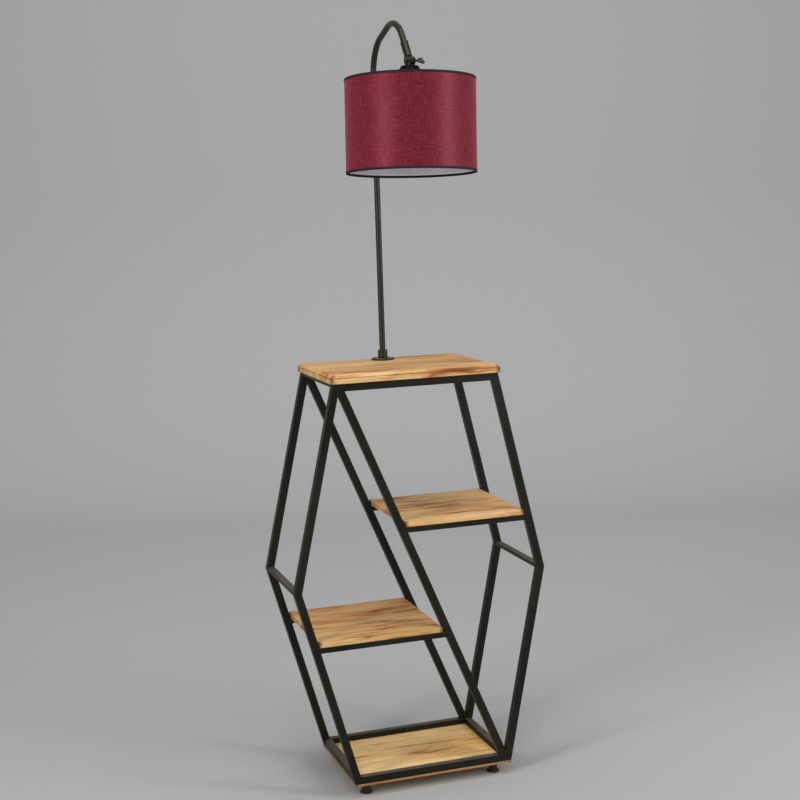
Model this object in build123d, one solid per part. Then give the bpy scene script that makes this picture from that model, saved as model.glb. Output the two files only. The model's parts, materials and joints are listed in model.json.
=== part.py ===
from build123d import *
import os
from math import asin, atan2, cos, degrees, hypot, radians, sin

# Shelf floor lamp: two welded hexagonal tube frames joined by cross tubes, four boards,
# levelling feet, and a pole on the top board whose bent arm carries a tilting drum shade.
# Millimetres. +Z is up, +X is to the right and -Y is the front. The origin is on the floor,
# under the middle of the whole lamp's plan, shade included.

# ---------------------------------------------------------------- driving dimensions
# frame
TUBE = 20.0                 # side of the square frame tube
TUBE_WALL = 1.5
FRAME_HEIGHT = 1063.0       # underside of the bottom rail to top of the top rail
WAIST_HEIGHT = 529.0        # height of the widest corners above the rail's underside
TOP_WIDTH = 450.0
WAIST_WIDTH = 694.0
BASE_WIDTH = 442.0
BASE_SHIFT = 17.5           # the foot of the frame stands this far to the right of its top
FRAME_DEPTH = 317.0         # front face of the front frame to back face of the back frame
FLAT_TUBE = 10.0            # height of the flat cross tubes at the top and the waist
DIAGONAL_SEAT = 16.3        # rail that the diagonal's far edge lands on, from the inner corner
SHELF_RAIL = 15.0           # height of the shelf rails
UPPER_RAIL_Z = 661.0        # undersides of the shelf rails above the frame's underside
LOWER_RAIL_Z = 368.0

# boards
TOP_BOARD = 22.0
TOP_BEVEL = 8.0
TOP_OVERHANG = 5.0
SHELF_BOARD = 14.0
BASE_LIP = 6.0              # rim of the base board, under the rails
BASE_RISE = 5.0             # middle of the base board, standing up inside the rails
BOARD_GAP = 0.5             # clearance between a board and the tubes beside it

# board fixings
TAB_LENGTH = 26.0           # along the rail
TAB_REACH = 18.0            # in under the board
TAB_THICKNESS = 3.0
TAB_INSET = 6.0             # from the end of the board to the end of the tab
SCREW_DIAMETER = 4.0
SCREW_HEAD = 8.0
SCREW_HEAD_HEIGHT = 2.4
SCREW_POINT = 3.0
SHORT_SCREW = 15.0
LONG_SCREW = 25.0
SCREW_CLEARANCE = 0.05
CROSS_SCREW_INSET = 60.0    # long screws, from the end of their cross tube
BASE_SCREW_INSET = 90.0     # base board screws, from the end of their rail

# levelling feet
FOOT_HEIGHT = 32.5          # floor to the underside of the base board
FOOT_INSET = 39.0           # from both edges of the base board to a foot's middle
PAD_DIAMETER = 33.0
PAD_HEIGHT = 8.0
NECK_DIAMETER = 23.0
NECK_TOP = 23.0
NECK_RIBS = 16
NECK_RIB = 1.6
STUD_DIAMETER = 8.0
STUD_GRIP = 7.0             # stud inside the insert when the foot is at its set height
INSERT_DIAMETER = 12.0
INSERT_DEPTH = 9.5
INSERT_FLANGE = 17.0
INSERT_FLANGE_HEIGHT = 1.2
THREAD_CLEARANCE = 0.05     # radial, for every stud, bolt and pole that turns in its hole

# pole and bent arm
POLE_DIAMETER = 16.0
POLE_WALL = 1.2
POLE_SETBACK = 38.0         # from the frame's back face to the pole's middle
POLE_LENGTH = 685.0
FLANGE_DIAMETER = 62.0
FLANGE_THICKNESS = 5.0
SOCKET_DIAMETER = 26.0
SOCKET_HEIGHT = 27.0
SOCKET_FLOOR = 2.0
WIRE_WAY = 8.0              # bore for the wires, from the pole down through the board
FLANGE_SCREW_CIRCLE = 44.0
GRUB_DIAMETER = 5.0
GRUB_HEIGHT = 17.0          # above the board
GROMMET_DIAMETER = 12.0
GROMMET_FLANGE = 18.0
GROMMET_FLANGE_HEIGHT = 2.5
JOINER_LENGTH = 48.0        # inside both the pole and the start of the arm
ARM_START_RUN = 67.0        # straight run before the bends
BACK_BEND_RADIUS = 105.0
BACK_BEND_ANGLE = 72.0
ARM_MIDDLE_RUN = 64.0       # straight run between the bends
FRONT_BEND_RADIUS = 105.0
FRONT_BEND_ANGLE = 70.0
ARM_END_RUN = 56.0          # straight run after the bends
SLEEVE_DIAMETER = 20.0
SLEEVE_LAP = 36.0           # sleeve over the arm
SLEEVE_OVERRUN = 9.0        # sleeve past the end of the arm
SLEEVE_TO_PIVOT = 17.0

# tilting knuckle, wing screw
HEAD_TILT = 3.0             # the shade's lower rim is set this many degrees forward
HEAD_LEAN = 1.8             # bend in the knuckle's stem, which takes the lower rim to the left
EAR_DIAMETER = 20.0
EAR_THICKNESS = 12.0
EAR_GAP = 0.3
PIVOT_DIAMETER = 5.0
PIVOT_THREAD = 7.0          # wing screw inside the far ear
WING_HUB_DIAMETER = 9.0
WING_HUB_LENGTH = 4.0
WING_LENGTH = 21.0
WING_ROOT = 5.0
WING_WIDTH = 28.0
WING_THICKNESS = 4.0
WING_TURN = -54.0           # turn of the wing from upright, as it is left after tightening

# lampholder, bulb
COVER_TOP = 11.5            # pivot down to the top of the black cover
COVER_RADIUS = 33.0         # also the height of its dome
COVER_FLAT = 12.0           # radius of the flat on top, inside the rounded shoulder
COVER_SKIRT = 9.5
COVER_WALL = 2.5
COVER_RIBS = 3
COVER_RIB = 1.4
STEM_DIAMETER = 10.0
HOLDER_DIAMETER = 39.0
HOLDER_SHOULDER = 46.0
HOLDER_SHOULDER_HEIGHT = 14.0
HOLDER_SKIRT = 40.0         # below the shade's hub
HOLDER_BORE = 27.0
HOLDER_BORE_DEPTH = 24.0
STEM_GRIP = 8.0             # knuckle's stem inside the lampholder
RING_NUT_DIAMETER = 54.0
RING_NUT_HEIGHT = 8.0
BULB_CAP_DIAMETER = 26.0
BULB_CAP_LENGTH = 25.0
BULB_DIAMETER = 60.0
BULB_LENGTH = 108.0

# shade
SHADE_DIAMETER = 327.0
SHADE_HEIGHT = 231.0
FABRIC = 0.7
LINER = 1.2
TRIM_HEIGHT = 5.0
TRIM_THICKNESS = 0.8
RIM_WIRE = 3.5
HUB_DROP = 9.0              # shade's top edge down to the top of the hub
HUB_THICKNESS = 2.0
HUB_WIDTH = 16.0
SPOKES = 3
FIT = 0.1                   # clearance of pieces that slide together and are then clamped

# ---------------------------------------------------------------- places worked out from them
FRAME_Z = FOOT_HEIGHT + BASE_LIP
FRAME_TOP = FRAME_Z + FRAME_HEIGHT
UPPER_SHELF_Z = FRAME_Z + UPPER_RAIL_Z + SHELF_RAIL
LOWER_SHELF_Z = FRAME_Z + LOWER_RAIL_Z + SHELF_RAIL
BOARD_TOP = FRAME_TOP + TOP_BOARD

bend_1 = radians(BACK_BEND_ANGLE)
bend_2 = radians(BACK_BEND_ANGLE + FRONT_BEND_ANGLE)
radius_step = BACK_BEND_RADIUS - FRONT_BEND_RADIUS
run_to_pivot = ARM_END_RUN + SLEEVE_OVERRUN + SLEEVE_TO_PIVOT
bends_reach = (BACK_BEND_RADIUS - radius_step * cos(bend_1) + ARM_MIDDLE_RUN * sin(bend_1)
               - FRONT_BEND_RADIUS * cos(bend_2))
bends_rise = (radius_step * sin(bend_1) + ARM_MIDDLE_RUN * cos(bend_1)
              + FRONT_BEND_RADIUS * sin(bend_2))
ARM_REACH = bends_reach + run_to_pivot * sin(bend_2)
ARM_RISE = bends_rise + run_to_pivot * cos(bend_2)

POLE_FOOT = BOARD_TOP + SOCKET_FLOOR
POLE_TOP = POLE_FOOT + POLE_LENGTH
BEND_START = POLE_TOP + ARM_START_RUN
PIVOT_Z = BEND_START + ARM_RISE

SHADE_RADIUS = SHADE_DIAMETER / 2
HUB_TOP = COVER_TOP + COVER_RADIUS + COVER_SKIRT      # all three measured down from the pivot
SHADE_TOP = HUB_TOP - HUB_DROP
SHADE_BOTTOM = SHADE_TOP + SHADE_HEIGHT

# The shade reaches furthest forward and the top board furthest back, and the origin is
# midway between the two.
tilt = radians(HEAD_TILT)
shade_reach = (SHADE_RADIUS + TRIM_THICKNESS) * cos(tilt) + (SHADE_BOTTOM + TRIM_THICKNESS) * sin(tilt)
pivot_behind_front = FRAME_DEPTH - POLE_SETBACK - ARM_REACH
most_forward = pivot_behind_front - shade_reach
most_backward = FRAME_DEPTH + TOP_OVERHANG
FRONT_Y = -(most_forward + most_backward) / 2
BACK_Y = FRONT_Y + FRAME_DEPTH
POLE_Y = BACK_Y - POLE_SETBACK
PIVOT_Y = POLE_Y - ARM_REACH

# Outline of a frame as (x, z), clockwise from the top left corner.
BASE_LEFT = BASE_SHIFT - BASE_WIDTH / 2
BASE_RIGHT = BASE_SHIFT + BASE_WIDTH / 2
OUTLINE = [
    (-TOP_WIDTH / 2, FRAME_TOP),
    (TOP_WIDTH / 2, FRAME_TOP),
    (WAIST_WIDTH / 2, FRAME_Z + WAIST_HEIGHT),
    (BASE_RIGHT, FRAME_Z),
    (BASE_LEFT, FRAME_Z),
    (-WAIST_WIDTH / 2, FRAME_Z + WAIST_HEIGHT),
]
SIDE_NAMES = [
    "top_rail",
    "upper_right_leg",
    "lower_right_leg",
    "bottom_rail",
    "lower_left_leg",
    "upper_left_leg",
]

parts = {}


# ---------------------------------------------------------------- helpers
def inset(corners, distance):
    """Corners of a clockwise outline with every side moved inward by a distance."""
    moved = []
    for i, corner in enumerate(corners):
        before = corners[i - 1]
        after = corners[(i + 1) % len(corners)]
        normals = []
        for start, end in ((before, corner), (corner, after)):
            run = (end[0] - start[0], end[1] - start[1])
            length = hypot(*run)
            normals.append((run[1] / length, -run[0] / length))
        (ax, az), (bx, bz) = normals
        scale = distance / (1 + ax * bx + az * bz)
        moved.append((corner[0] + scale * (ax + bx), corner[1] + scale * (az + bz)))
    return moved


def x_on(line, z):
    """x where a straight line through two (x, z) points passes a height."""
    (x0, z0), (x1, z1) = line
    return x0 + (x1 - x0) * (z - z0) / (z1 - z0)


def slab(outline, y_start, depth):
    """Prism with an (x, z) outline, from y_start back to y_start + depth."""
    edge = Polyline([(x, y_start, z) for x, z in outline], close=True)
    return extrude(make_face(edge), amount=depth, dir=(0, 1, 0))


def block(x_range, y_range, z_range):
    """Box between two values on each axis."""
    size = [high - low for low, high in (x_range, y_range, z_range)]
    middle = [(low + high) / 2 for low, high in (x_range, y_range, z_range)]
    return Pos(*middle) * Box(*size)


def rod(diameter, z_low, z_high):
    """Upright cylinder between two heights."""
    return Pos(0, 0, (z_low + z_high) / 2) * Cylinder(diameter / 2, z_high - z_low)


def ring(outer, inner, z_low, z_high):
    """Upright round tube between two heights."""
    return rod(outer, z_low, z_high) - rod(inner, z_low - 1, z_high + 1)


def lathe(profile):
    """Solid of revolution about Z from an (r, z) outline."""
    edge = Polyline([(r, 0, z) for r, z in profile], close=True)
    return revolve(make_face(edge), Axis.Z)


def screw(length):
    """Pan head screw pointing up, the underside of its head at the origin."""
    radius = SCREW_DIAMETER / 2
    head = lathe([(0, 0), (SCREW_HEAD / 2, 0), (SCREW_HEAD / 2, -SCREW_HEAD_HEIGHT / 2),
                  (SCREW_HEAD / 4, -SCREW_HEAD_HEIGHT), (0, -SCREW_HEAD_HEIGHT)])
    shank = lathe([(0, 0), (radius, 0), (radius, length - SCREW_POINT), (0, length)])
    slot = Box(SCREW_HEAD / 2, SCREW_HEAD / 8, SCREW_HEAD_HEIGHT)
    cross = Pos(0, 0, -SCREW_HEAD_HEIGHT) * (slot + Rot(0, 0, 90) * slot)
    return head + shank - cross


def screw_hole(length):
    """What a screw of this length takes out of the pieces around its shank."""
    return rod(SCREW_DIAMETER + 2 * SCREW_CLEARANCE, 0, length)


def drilled(piece, places, tool):
    """The piece with one tool cut out of it at each place."""
    for place in places:
        piece = piece - Pos(*place) * tool
    return piece


# ---------------------------------------------------------------- welded frames
outer = inset(OUTLINE, 0)
inner = inset(OUTLINE, TUBE)
hollow_outer = inset(OUTLINE, TUBE_WALL)
hollow_inner = inset(OUTLINE, TUBE - TUBE_WALL)

# The diagonal's upper edge starts on the top rail and its lower edge ends on the bottom rail.
diagonal_start = (inner[0][0] + DIAGONAL_SEAT, inner[0][1])
diagonal_end = (inner[3][0] - DIAGONAL_SEAT, inner[3][1])
diagonal_run = diagonal_end[0] - diagonal_start[0]
diagonal_drop = diagonal_start[1] - diagonal_end[1]
diagonal_length = hypot(diagonal_run, diagonal_drop)
diagonal_lean = atan2(diagonal_run, diagonal_drop) + asin(TUBE / diagonal_length)
diagonal_middle = (
    (diagonal_start[0] + diagonal_end[0]) / 2,
    (diagonal_start[1] + diagonal_end[1]) / 2,
)


def diagonal_edge(through):
    """Line along one edge of the diagonal, through a point of that edge."""
    return (through, (through[0] + sin(diagonal_lean), through[1] - cos(diagonal_lean)))


DIAGONAL_RIGHT = diagonal_edge(diagonal_start)
DIAGONAL_LEFT = diagonal_edge(diagonal_end)
RIGHT_LEG_INSIDE = (inner[1], inner[2])
LEFT_LEG_INSIDE = (inner[5], inner[4])


def side_tube(side, y_start):
    """One side of the hexagon, mitred at both ends and open inside."""
    far = (side + 1) % len(OUTLINE)
    solid = slab([outer[side], outer[far], inner[far], inner[side]], y_start, TUBE)
    core = [hollow_outer[side], hollow_outer[far], hollow_inner[far], hollow_inner[side]]
    return solid - slab(core, y_start + TUBE_WALL, TUBE - 2 * TUBE_WALL)


def diagonal_tube(y_start):
    """The diagonal, cut to the inside of the hexagon at both ends."""
    length = diagonal_length + 4 * TUBE
    turn = Rot(0, -degrees(diagonal_lean), 0)
    middle = Pos(diagonal_middle[0], y_start + TUBE / 2, diagonal_middle[1])
    core = TUBE - 2 * TUBE_WALL
    bar = middle * turn * (Box(TUBE, TUBE, length) - Box(core, core, length))
    return bar & slab(inner, y_start - 1, TUBE + 2)


def shelf_rail(left, right, z_low, y_start):
    """Level rail between two leaning edges, open inside."""
    def outline(low, high):
        return [(x_on(left, low), low), (x_on(left, high), high),
                (x_on(right, high), high), (x_on(right, low), low)]

    z_high = z_low + SHELF_RAIL
    solid = slab(outline(z_low, z_high), y_start, TUBE)
    core = slab(outline(z_low + TUBE_WALL, z_high - TUBE_WALL),
                y_start + TUBE_WALL, TUBE - 2 * TUBE_WALL)
    return solid - core


for frame_name, frame_y in (("front", FRONT_Y), ("back", BACK_Y - TUBE)):
    for side, side_name in enumerate(SIDE_NAMES):
        parts[f"{frame_name}_{side_name}"] = side_tube(side, frame_y)
    parts[f"{frame_name}_diagonal"] = diagonal_tube(frame_y)
    parts[f"{frame_name}_upper_shelf_rail"] = shelf_rail(
        DIAGONAL_RIGHT, RIGHT_LEG_INSIDE, UPPER_SHELF_Z - SHELF_RAIL, frame_y)
    parts[f"{frame_name}_lower_shelf_rail"] = shelf_rail(
        LEFT_LEG_INSIDE, DIAGONAL_LEFT, LOWER_SHELF_Z - SHELF_RAIL, frame_y)

# ---------------------------------------------------------------- cross tubes
CROSS_Y = (FRONT_Y + TUBE, BACK_Y - TUBE)


def cross_tube(outside_x, inward, z_low, height):
    """Tube from one frame to the other, its outer face at outside_x."""
    x_range = sorted((outside_x, outside_x + inward * TUBE))
    x_core = (x_range[0] + TUBE_WALL, x_range[1] - TUBE_WALL)
    z_core = (z_low + TUBE_WALL, z_low + height - TUBE_WALL)
    tube = block(x_range, CROSS_Y, (z_low, z_low + height))
    return tube - block(x_core, CROSS_Y, z_core)


waist_z = FRAME_Z + WAIST_HEIGHT - FLAT_TUBE / 2
waist_left = x_on((OUTLINE[5], OUTLINE[4]), waist_z)
waist_right = x_on((OUTLINE[2], OUTLINE[3]), waist_z)
long_screw_places = [
    (x, y, FRAME_TOP - FLAT_TUBE)
    for x in (-TOP_WIDTH / 2 + TUBE / 2, TOP_WIDTH / 2 - TUBE / 2)
    for y in (CROSS_Y[0] + CROSS_SCREW_INSET, CROSS_Y[1] - CROSS_SCREW_INSET)
]
for name, outside_x, inward in (("left", -TOP_WIDTH / 2, 1), ("right", TOP_WIDTH / 2, -1)):
    tube = cross_tube(outside_x, inward, FRAME_TOP - FLAT_TUBE, FLAT_TUBE)
    parts[f"top_{name}_cross_tube"] = drilled(tube, long_screw_places, screw_hole(LONG_SCREW))
parts["waist_left_cross_tube"] = cross_tube(waist_left, 1, waist_z, FLAT_TUBE)
parts["waist_right_cross_tube"] = cross_tube(waist_right, -1, waist_z, FLAT_TUBE)
parts["bottom_left_cross_tube"] = cross_tube(BASE_LEFT, 1, FRAME_Z, TUBE)
parts["bottom_right_cross_tube"] = cross_tube(BASE_RIGHT, -1, FRAME_Z, TUBE)

# ---------------------------------------------------------------- shelf boards on their tabs
short_screw_places = []
SHELVES = {
    "upper": (
        UPPER_SHELF_Z,
        x_on(DIAGONAL_RIGHT, UPPER_SHELF_Z) + BOARD_GAP,
        x_on(RIGHT_LEG_INSIDE, UPPER_SHELF_Z + SHELF_BOARD) - BOARD_GAP,
    ),
    "lower": (
        LOWER_SHELF_Z,
        x_on(LEFT_LEG_INSIDE, LOWER_SHELF_Z) + BOARD_GAP,
        x_on(DIAGONAL_LEFT, LOWER_SHELF_Z + SHELF_BOARD) - BOARD_GAP,
    ),
}
for name, (shelf_z, x_left, x_right) in SHELVES.items():
    tab_places = [
        (x, y)
        for x in (x_left + TAB_INSET + TAB_LENGTH / 2, x_right - TAB_INSET - TAB_LENGTH / 2)
        for y in (CROSS_Y[0] + TAB_REACH / 2, CROSS_Y[1] - TAB_REACH / 2)
    ]
    screw_z = shelf_z - TAB_THICKNESS
    screws = [(x, y, screw_z) for x, y in tab_places]
    board = block((x_left, x_right), (FRONT_Y, BACK_Y), (shelf_z, shelf_z + SHELF_BOARD))
    tab = Box(TAB_LENGTH, TAB_REACH, TAB_THICKNESS)
    tabs = [Pos(x, y, shelf_z - TAB_THICKNESS / 2) * tab for x, y in tab_places]
    parts[f"{name}_shelf_board"] = drilled(board, screws, screw_hole(SHORT_SCREW))
    parts[f"{name}_shelf_tabs"] = Compound(
        [drilled(tab, screws, screw_hole(SHORT_SCREW)) for tab in tabs])
    short_screw_places += screws

# ---------------------------------------------------------------- base board
base_x = (BASE_LEFT, BASE_RIGHT)
base_rise_x = (BASE_LEFT + TUBE + BOARD_GAP, BASE_RIGHT - TUBE - BOARD_GAP)
base_rise_y = (CROSS_Y[0] + BOARD_GAP, CROSS_Y[1] - BOARD_GAP)
base_screw_x = (BASE_LEFT + BASE_SCREW_INSET, BASE_SHIFT, BASE_RIGHT - BASE_SCREW_INSET)
base_screws = [
    (x, y, FOOT_HEIGHT)
    for x in base_screw_x
    for y in (FRONT_Y + TUBE / 2, BACK_Y - TUBE / 2)
]
foot_places = {
    f"{depth}_{side}": (x, y)
    for depth, y in (("front", FRONT_Y + FOOT_INSET), ("back", BACK_Y - FOOT_INSET))
    for side, x in (("left", BASE_LEFT + FOOT_INSET), ("right", BASE_RIGHT - FOOT_INSET))
}
base_board = block(base_x, (FRONT_Y, BACK_Y), (FOOT_HEIGHT, FRAME_Z))
base_board += block(base_rise_x, base_rise_y, (FRAME_Z, FRAME_Z + BASE_RISE))
insert_pocket = rod(INSERT_DIAMETER, 0, INSERT_DEPTH)
base_board = drilled(base_board, base_screws, screw_hole(SHORT_SCREW))
base_board = drilled(base_board, [(x, y, FOOT_HEIGHT) for x, y in foot_places.values()], insert_pocket)
parts["base_board"] = base_board
for rail in ("front_bottom_rail", "back_bottom_rail"):
    parts[rail] = drilled(parts[rail], base_screws, screw_hole(SHORT_SCREW))
short_screw_places += base_screws

# ---------------------------------------------------------------- levelling feet
stud_bore = STUD_DIAMETER + 2 * THREAD_CLEARANCE
insert = ring(INSERT_DIAMETER, stud_bore, 0, INSERT_DEPTH)
insert += ring(INSERT_FLANGE, stud_bore, -INSERT_FLANGE_HEIGHT, 0)
parts["foot_inserts"] = Compound(
    [Pos(x, y, FOOT_HEIGHT) * insert for x, y in foot_places.values()])

pad = lathe([(0, 0), (PAD_DIAMETER / 2, 0), (PAD_DIAMETER / 2, PAD_HEIGHT / 2),
             (NECK_DIAMETER / 2, PAD_HEIGHT), (NECK_DIAMETER / 2, NECK_TOP), (0, NECK_TOP)])
grip_groove = rod(NECK_RIB, PAD_HEIGHT + NECK_RIB, NECK_TOP + 1)
grip_places = [loc.position for loc in PolarLocations(NECK_DIAMETER / 2, NECK_RIBS).locations]
pad = drilled(pad, [tuple(place) for place in grip_places], grip_groove)
pad -= rod(STUD_DIAMETER, PAD_HEIGHT, NECK_TOP + 1)
stud = rod(STUD_DIAMETER, PAD_HEIGHT, FOOT_HEIGHT + STUD_GRIP)
for name, (x, y) in foot_places.items():
    parts[f"{name}_foot_pad"] = Pos(x, y, 0) * pad
    parts[f"{name}_foot_stud"] = Pos(x, y, 0) * stud

# ---------------------------------------------------------------- top board
top_board = block(
    (-TOP_WIDTH / 2 - TOP_OVERHANG, TOP_WIDTH / 2 + TOP_OVERHANG),
    (FRONT_Y - TOP_OVERHANG, BACK_Y + TOP_OVERHANG),
    (FRAME_TOP, BOARD_TOP),
)
top_board = chamfer(top_board.faces().sort_by(Axis.Z)[-1].edges(), TOP_BEVEL)
top_board = drilled(top_board, long_screw_places, screw_hole(LONG_SCREW))
top_board -= Pos(0, POLE_Y, 0) * rod(GROMMET_DIAMETER, FRAME_TOP - 1, BOARD_TOP + 1)

# ---------------------------------------------------------------- pole and its socket
flange = rod(FLANGE_DIAMETER, BOARD_TOP, BOARD_TOP + FLANGE_THICKNESS)
flange = chamfer(flange.faces().sort_by(Axis.Z)[-1].edges(), FLANGE_THICKNESS / 3)
flange += rod(SOCKET_DIAMETER, BOARD_TOP, BOARD_TOP + SOCKET_HEIGHT)
flange -= rod(POLE_DIAMETER + 2 * THREAD_CLEARANCE, POLE_FOOT, BOARD_TOP + SOCKET_HEIGHT + 1)
flange -= rod(WIRE_WAY, BOARD_TOP - 1, POLE_FOOT + 1)
grub_length = (SOCKET_DIAMETER - POLE_DIAMETER) / 2 - THREAD_CLEARANCE
grub_middle = (POLE_DIAMETER / 2 + THREAD_CLEARANCE) + grub_length / 2
grub_place = Pos(0, grub_middle, BOARD_TOP + GRUB_HEIGHT) * Rot(90, 0, 0)
flange -= grub_place * Cylinder(GRUB_DIAMETER / 2, grub_length + 1)
grub_screw = grub_place * Cylinder(GRUB_DIAMETER / 2, grub_length)
grub_screw -= grub_place * Pos(0, 0, -grub_length / 2) * extrude(
    RegularPolygon(GRUB_DIAMETER / 4, 6), GRUB_DIAMETER / 3)
flange_screw_places = [
    (loc.position.X, loc.position.Y + POLE_Y, BOARD_TOP + FLANGE_THICKNESS)
    for loc in PolarLocations(FLANGE_SCREW_CIRCLE / 2, 3, start_angle=90).locations
]
down = Rot(180, 0, 0)
top_board = drilled(top_board, flange_screw_places, down * screw_hole(SHORT_SCREW))
parts["top_board"] = top_board
flange = Pos(0, POLE_Y, 0) * flange
parts["pole_flange"] = drilled(flange, flange_screw_places, down * screw_hole(SHORT_SCREW))
parts["pole_grub_screw"] = Pos(0, POLE_Y, 0) * grub_screw

short_screws = [Pos(*place) * screw(SHORT_SCREW) for place in short_screw_places]
short_screws += [Pos(*place) * down * screw(SHORT_SCREW) for place in flange_screw_places]
parts["short_screws"] = Compound(short_screws)
parts["long_screws"] = Compound([Pos(*place) * screw(LONG_SCREW) for place in long_screw_places])

grommet = ring(GROMMET_DIAMETER, WIRE_WAY, FRAME_TOP, BOARD_TOP)
grommet += ring(GROMMET_FLANGE, WIRE_WAY, FRAME_TOP - GROMMET_FLANGE_HEIGHT, FRAME_TOP)
parts["cord_grommet"] = Pos(0, POLE_Y, 0) * grommet

pole_bore = POLE_DIAMETER - 2 * POLE_WALL
parts["pole"] = Pos(0, POLE_Y, 0) * ring(POLE_DIAMETER, pole_bore, POLE_FOOT + FIT, POLE_TOP)
joiner_diameter = pole_bore - 2 * THREAD_CLEARANCE
joiner = ring(joiner_diameter, WIRE_WAY, -JOINER_LENGTH / 2, JOINER_LENGTH / 2)
parts["pole_joiner"] = Pos(0, POLE_Y, POLE_TOP) * joiner

# ---------------------------------------------------------------- bent arm
back_centre = (POLE_Y - BACK_BEND_RADIUS, BEND_START)
front_centre = (
    back_centre[0] + radius_step * cos(bend_1) - ARM_MIDDLE_RUN * sin(bend_1),
    back_centre[1] + radius_step * sin(bend_1) + ARM_MIDDLE_RUN * cos(bend_1),
)


def bend_point(centre, radius, angle):
    """Point on a bend, its angle counted upward from level at the back."""
    return (0, centre[0] + radius * cos(angle), centre[1] + radius * sin(angle))


arm_foot = Vector(0, POLE_Y, POLE_TOP)
along_end = Vector(0, -sin(bend_2), cos(bend_2))
start_run = Line(arm_foot, (0, POLE_Y, BEND_START))
back_bend = ThreePointArc(
    start_run @ 1,
    bend_point(back_centre, BACK_BEND_RADIUS, bend_1 / 2),
    bend_point(back_centre, BACK_BEND_RADIUS, bend_1),
)
middle_run = Line(back_bend @ 1, bend_point(front_centre, FRONT_BEND_RADIUS, bend_1))
front_bend = ThreePointArc(
    middle_run @ 1,
    bend_point(front_centre, FRONT_BEND_RADIUS, (bend_1 + bend_2) / 2),
    bend_point(front_centre, FRONT_BEND_RADIUS, bend_2),
)
end_run = Line(front_bend @ 1, (front_bend @ 1) + along_end * ARM_END_RUN)
arm_runs = (start_run, back_bend, middle_run, front_bend, end_run)
arm_path = Wire([run.edge() for run in arm_runs])
arm_section = Plane(origin=arm_foot, z_dir=(0, 0, 1)) * (
    Circle(POLE_DIAMETER / 2) - Circle(pole_bore / 2))
parts["bent_arm"] = sweep(arm_section, path=arm_path)

sleeve = rod(SLEEVE_DIAMETER, -SLEEVE_LAP, SLEEVE_OVERRUN)
sleeve = chamfer(sleeve.edges(), (SLEEVE_DIAMETER - POLE_DIAMETER) / 5)
sleeve -= rod(POLE_DIAMETER + 2 * THREAD_CLEARANCE, -SLEEVE_LAP - 1, FIT)
sleeve -= rod(STEM_DIAMETER, 0, SLEEVE_OVERRUN + 1)
parts["arm_sleeve"] = Plane(origin=end_run @ 1, x_dir=(1, 0, 0), z_dir=along_end) * sleeve

# ---------------------------------------------------------------- tilting knuckle
# The arm's ear is on the right and the head's on the left, both turning about the X axis.
COLLAR_NEAR = EAR_DIAMETER / 2 + EAR_GAP
across = Rot(0, 90, 0)


def knuckle(side, collar_end, stem_end, hole, stem_lean=0):
    """Round ear beside the pivot, with a collar and a stem that run down from it."""
    ear_x = side * (EAR_GAP + EAR_THICKNESS) / 2
    eye = Pos(ear_x, 0, 0) * across * Cylinder(EAR_DIAMETER / 2, EAR_THICKNESS)
    neck = Pos(ear_x, 0, -COLLAR_NEAR / 2) * Box(EAR_THICKNESS, EAR_DIAMETER, COLLAR_NEAR)
    neck &= rod(SLEEVE_DIAMETER, -COLLAR_NEAR, 0)
    stem = rod(EAR_DIAMETER, -collar_end, -COLLAR_NEAR)
    stem += rod(STEM_DIAMETER - 2 * THREAD_CLEARANCE, -stem_end, -(collar_end + COLLAR_NEAR) / 2)
    stem = Rot(0, stem_lean, 0) * stem
    drill = Pos(ear_x, 0, 0) * across * Cylinder(hole / 2, 2 * EAR_THICKNESS)
    return (eye + neck + stem) - drill


pivot_place = Pos(0, PIVOT_Y, PIVOT_Z)
hinge_hole = PIVOT_DIAMETER + 2 * THREAD_CLEARANCE
arm_knuckle = knuckle(1, SLEEVE_TO_PIVOT, SLEEVE_TO_PIVOT + SLEEVE_OVERRUN - FIT, hinge_hole)
parts["arm_knuckle"] = pivot_place * Rot(BACK_BEND_ANGLE + FRONT_BEND_ANGLE, 0, 0) * arm_knuckle

tilted = pivot_place * Rot(-HEAD_TILT, 0, 0)
head = tilted * Rot(0, HEAD_LEAN, 0)
holder_top = HUB_TOP - HOLDER_SHOULDER_HEIGHT
head_knuckle = knuckle(-1, COVER_TOP, holder_top + STEM_GRIP, hinge_hole, HEAD_LEAN)
parts["head_knuckle"] = tilted * head_knuckle

wing_start = EAR_GAP / 2 + EAR_THICKNESS + EAR_GAP
wing_root = wing_start + WING_HUB_LENGTH
wing_tip = wing_root + WING_LENGTH
shank_end = -EAR_GAP / 2 - PIVOT_THREAD
shank = Pos((shank_end + wing_start) / 2, 0, 0) * across * Cylinder(
    PIVOT_DIAMETER / 2, wing_start - shank_end)
wing_hub = Pos((wing_start + wing_root) / 2, 0, 0) * across * Cylinder(
    WING_HUB_DIAMETER / 2, WING_HUB_LENGTH)
wing = slab(
    [(wing_root - FIT, WING_ROOT / 2), (wing_tip, WING_WIDTH / 2),
     (wing_tip, -WING_WIDTH / 2), (wing_root - FIT, -WING_ROOT / 2)],
    -WING_THICKNESS / 2, WING_THICKNESS)
wing = fillet(wing.edges().filter_by(Axis.Y).sort_by(Axis.X)[-2:], WING_WIDTH / 4)
parts["wing_screw"] = tilted * Rot(WING_TURN, 0, 0) * (shank + wing_hub + wing)

# ---------------------------------------------------------------- lampholder and bulb
dome_z = -COVER_TOP - COVER_RADIUS
cover_foot = dome_z - COVER_SKIRT


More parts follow.
